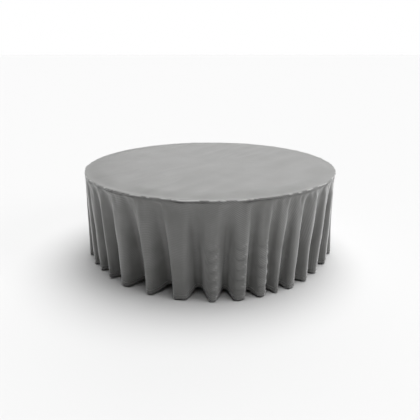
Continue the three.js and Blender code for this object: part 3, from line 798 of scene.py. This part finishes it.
satin, tree, shader = new_material("polyester_satin")
cut_place = node(tree, "ShaderNodeUVMap", {"uv_map": "cut"})
metres = node(tree, "ShaderNodeMapping", Vector=cut_place.outputs["UV"],
              Location=(-UV_SPAN / 2, -UV_SPAN / 2, 0), Scale=(UV_SPAN, UV_SPAN, UV_SPAN))
turned_cloth = node(tree, "ShaderNodeMapping", Vector=metres.outputs["Vector"],
                    Rotation=(0, 0, math.radians(20)))
ribs = node(tree, "ShaderNodeTexWave", {"bands_direction": "Y"},
            Vector=turned_cloth.outputs["Vector"], Distortion=1.2, Detail=2.0, Detail_Scale=0.6,
            Scale=2 * math.pi / RIB_SPACING / WAVE_TURN)
patch = node(tree, "ShaderNodeTexNoise", Vector=metres.outputs["Vector"], Scale=4.0, Detail=3.0)
faint = node(tree, "ShaderNodeMapRange", Value=patch.outputs["Fac"], From_Min=0.38, From_Max=0.66,
             To_Min=0.0, To_Max=0.6)
shown = node(tree, "ShaderNodeMath", {"operation": "MULTIPLY"}, _0=ribs.outputs["Fac"],
             _1=faint.outputs["Result"])
clouds = node(tree, "ShaderNodeTexNoise", Vector=metres.outputs["Vector"], Scale=9.0, Detail=5.0)
tone = node(tree, "ShaderNodeValToRGB", Fac=clouds.outputs["Fac"])
for stop, where, colour in zip(tone.color_ramp.elements, (0.30, 0.70), ("6D6D6B", "747472")):
    stop.position, stop.color = where, linear(colour)
lit = node(tree, "ShaderNodeMix", {"data_type": "RGBA", "blend_type": "MIX"},
           _0=shown.outputs[0], _6=tone.outputs["Color"], _7=linear("939392"))
# Painted shade and highlight: the attribute darkens the colour towards 3A3A39 where it is below 0,
# and lightens it towards C4C4C3 where it is above 0.
painted_light_here = node(tree, "ShaderNodeAttribute", {"attribute_name": "painted_shade_and_highlight"})
painted_shade_amount = node(tree, "ShaderNodeMapRange", Value=painted_light_here.outputs["Fac"], From_Min=-1.0,
              From_Max=0.0, To_Min=0.85, To_Max=0.0)
painted_highlight_amount = node(tree, "ShaderNodeMapRange", Value=painted_light_here.outputs["Fac"], From_Min=0.0,
              From_Max=1.0, To_Min=0.0, To_Max=0.85)
with_painted_shade = node(tree, "ShaderNodeMix", {"data_type": "RGBA"}, _0=painted_shade_amount.outputs["Result"],
                 _6=lit.outputs[2], _7=linear("3A3A39"))
with_painted_highlight = node(tree, "ShaderNodeMix", {"data_type": "RGBA"}, _0=painted_highlight_amount.outputs["Result"],
                  _6=with_painted_shade.outputs[2], _7=linear("C4C4C3"))
tree.links.new(with_painted_highlight.outputs[2], shader.inputs["Base Color"])
bump = node(tree, "ShaderNodeBump", Strength=0.35, Distance=0.0012, Height=shown.outputs[0])
tree.links.new(bump.outputs["Normal"], shader.inputs["Normal"])
set_finish(shader, Roughness=0.42, Specular_IOR_Level=0.45, Sheen_Weight=0.9,
           Sheen_Roughness=0.45, Sheen_Tint=linear("F4F4F4"))
for piece in (cloth, hem):
    piece.data.materials.append(satin)
print("satin ribs every", RIB_SPACING * 1000, "mm, on", [piece.name for piece in (cloth, hem)])

# %% [markdown]
# ## The table's own finishes
#
# A banquet table is a plain working thing: varnished birch plywood with a moulded vinyl edge,
# softwood battens, legs of powder-coated tube and zinc-plated brackets. Nothing of it shows
# while the cloth is on, but it does when the cloth is lifted. All these patterns read the
# pieces' own coordinates in metres, so each scale below is a real size.

# %% Woods
PORE_SIZE = 0.0012
GRAIN_STRETCH = 12       # a growth line is this many times longer than it is wide


def wood(name, light, dark, grain, width, **finish):
    """Planed wood: growth lines of this width, drawn out along the grain's direction."""
    material, tree, shader = new_material(name)
    place = node(tree, "ShaderNodeTexCoord")
    laid = node(tree, "ShaderNodeMapping", Vector=place.outputs["Object"],
                Rotation=(0, 0, 0 if grain == "x" else math.pi / 2),
                Scale=(1, GRAIN_STRETCH, GRAIN_STRETCH))
    lines = node(tree, "ShaderNodeTexNoise", Vector=laid.outputs["Vector"],
                 Scale=1 / (GRAIN_STRETCH * width), Detail=5.0, Roughness=0.6, Distortion=0.6)
    pores = node(tree, "ShaderNodeTexNoise", Vector=laid.outputs["Vector"],
                 Scale=1 / (GRAIN_STRETCH * PORE_SIZE), Detail=2.0)
    tone = node(tree, "ShaderNodeValToRGB", Fac=lines.outputs["Fac"])
    for stop, where, colour in zip(tone.color_ramp.elements, (0.34, 0.66), (dark, light)):
        stop.position, stop.color = where, linear(colour)
    tree.links.new(tone.outputs["Color"], shader.inputs["Base Color"])
    bump = node(tree, "ShaderNodeBump", Strength=0.25, Distance=0.0003,
                Height=pores.outputs["Fac"])
    tree.links.new(bump.outputs["Normal"], shader.inputs["Normal"])
    set_finish(shader, **finish)
    return material


# Varnished birch plywood: a pale rotary-cut face with wide, cloudy growth lines, under a
# coat of clear lacquer that adds a soft gloss.
birch = wood("varnished_birch_plywood", "D9BE92", "BC9A69", "x", 0.030, Roughness=0.42,
             Coat_Weight=0.25, Coat_Roughness=0.3)

# Planed spruce battens: narrow, straight growth lines, left bare, so quite matt.
spruce_x = wood("planed_spruce_lengthways", "D8B684", "B98F5C", "x", 0.006, Roughness=0.65)
spruce_y = wood("planed_spruce_crossways", "D8B684", "B98F5C", "y", 0.006, Roughness=0.65)
print("woods:", birch.name, spruce_x.name, spruce_y.name)


# %% [markdown]
# ## Vinyl, steel, rubber and thread
#
# These are all one colour to a first look, and what tells them apart is the size of their
# specks, how deep they stand and how they shine. So one function makes them all, with fine
# specks for the grain of the surface and larger, fainter stains for handling and dust.

# %% Vinyl, steel, rubber and thread
def speckled(name, light, dark, size, roughness, bump_depth, stretch=(1, 1, 1), **finish):
    """A surface with fine specks of this size in its colour, its gloss and its height."""
    material, tree, shader = new_material(name)
    place = node(tree, "ShaderNodeTexCoord")
    laid = node(tree, "ShaderNodeMapping", Vector=place.outputs["Object"], Scale=stretch)
    specks = node(tree, "ShaderNodeTexNoise", Vector=laid.outputs["Vector"], Scale=1 / size,
                  Detail=3.0)
    stains = node(tree, "ShaderNodeTexNoise", Vector=place.outputs["Object"], Scale=9.0,
                  Detail=4.0)
    both = node(tree, "ShaderNodeMath", {"operation": "MULTIPLY_ADD"},
                _0=specks.outputs["Fac"], _1=0.5, _2=stains.outputs["Fac"])
    tone = node(tree, "ShaderNodeValToRGB", Fac=both.outputs[0])
    for stop, where, colour in zip(tone.color_ramp.elements, (0.55, 0.95), (dark, light)):
        stop.position, stop.color = where, linear(colour)
    tree.links.new(tone.outputs["Color"], shader.inputs["Base Color"])
    gloss = node(tree, "ShaderNodeMapRange", Value=stains.outputs["Fac"], From_Min=0.3,
                 From_Max=0.7, To_Min=roughness - 0.08, To_Max=roughness + 0.08)
    tree.links.new(gloss.outputs["Result"], shader.inputs["Roughness"])
    bump = node(tree, "ShaderNodeBump", Strength=0.4, Distance=bump_depth,
                Height=specks.outputs["Fac"])
    tree.links.new(bump.outputs["Normal"], shader.inputs["Normal"])
    set_finish(shader, **finish)
    return material


# Extruded vinyl edging, brown: faint lines run round it where the die dragged, so its specks
# are drawn out flat and are thin only in height.
vinyl = speckled("extruded_vinyl_edging", "6B5443", "54402F", 0.012, 0.5, 0.0003, (1, 1, 12))
# Powder-coated steel tube, charcoal: the baked powder leaves an orange peel of about 1.5 mm,
# drawn at 3 mm so that it shows.
powder = speckled("powder_coated_steel", "484A4C", "37393B", 0.003, 0.42, 0.0004)
# Zinc-plated steel plate: bright metal with a slightly cloudy, blue-grey bloom.
zinc = speckled("zinc_plated_steel", "C3C7CB", "9DA2A7", 0.004, 0.36, 0.0001, Metallic=1.0)
# Passivated screws, pins and rivets: the same plating with a thin, yellowish film.
passivated = speckled("yellow_passivated_steel", "CDBE92", "A8996F", 0.002, 0.30, 0.0001,
                      Metallic=1.0)
# Moulded rubber feet: nearly black and matt, with a dusty bloom where they scuff.
rubber = speckled("moulded_rubber", "3A3A3A", "1D1D1E", 0.0015, 0.8, 0.0003)
# Spun polyester thread: fuzzy and a shade lighter than the satin.
thread = speckled("spun_polyester_thread", "8A8A88", "70706E", 0.0008, 0.75, 0.0002)
stitches.data.materials.append(thread)
print("speckled finishes:",
      [made.name for made in (vinyl, powder, zinc, passivated, rubber, thread)])

# %% [markdown]
# ## Give every part its finish
#
# Each part of the table already names the stuff that it is made of, so its finish is looked
# up by that name. The cross rails lie across the others, and so does their grain.

# %% Give every part of the table its finish
finishes = {"plywood": birch, "batten": spruce_x, "edge_band": vinyl, "steel_tube": powder,
            "zinc_plate": zinc, "fasteners": passivated, "rubber_foot": rubber}
for name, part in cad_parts.items():
    for slot in part.material_slots:
        kind = slot.material.name.split(".")[0] if slot.material else ""
        if kind in finishes:
            slot.material = spruce_y if name.startswith("cross_rail") else finishes[kind]
print("finishes given:", sorted({slot.material.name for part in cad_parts.values()
                                 for slot in part.material_slots if slot.material}))

floor_paint, tree, shader = new_material("matt_floor_paint")
set_finish(shader, Base_Color=linear("DADADA"), Roughness=0.9, Specular_IOR_Level=0.0)
floor_mesh.materials.append(floor_paint)
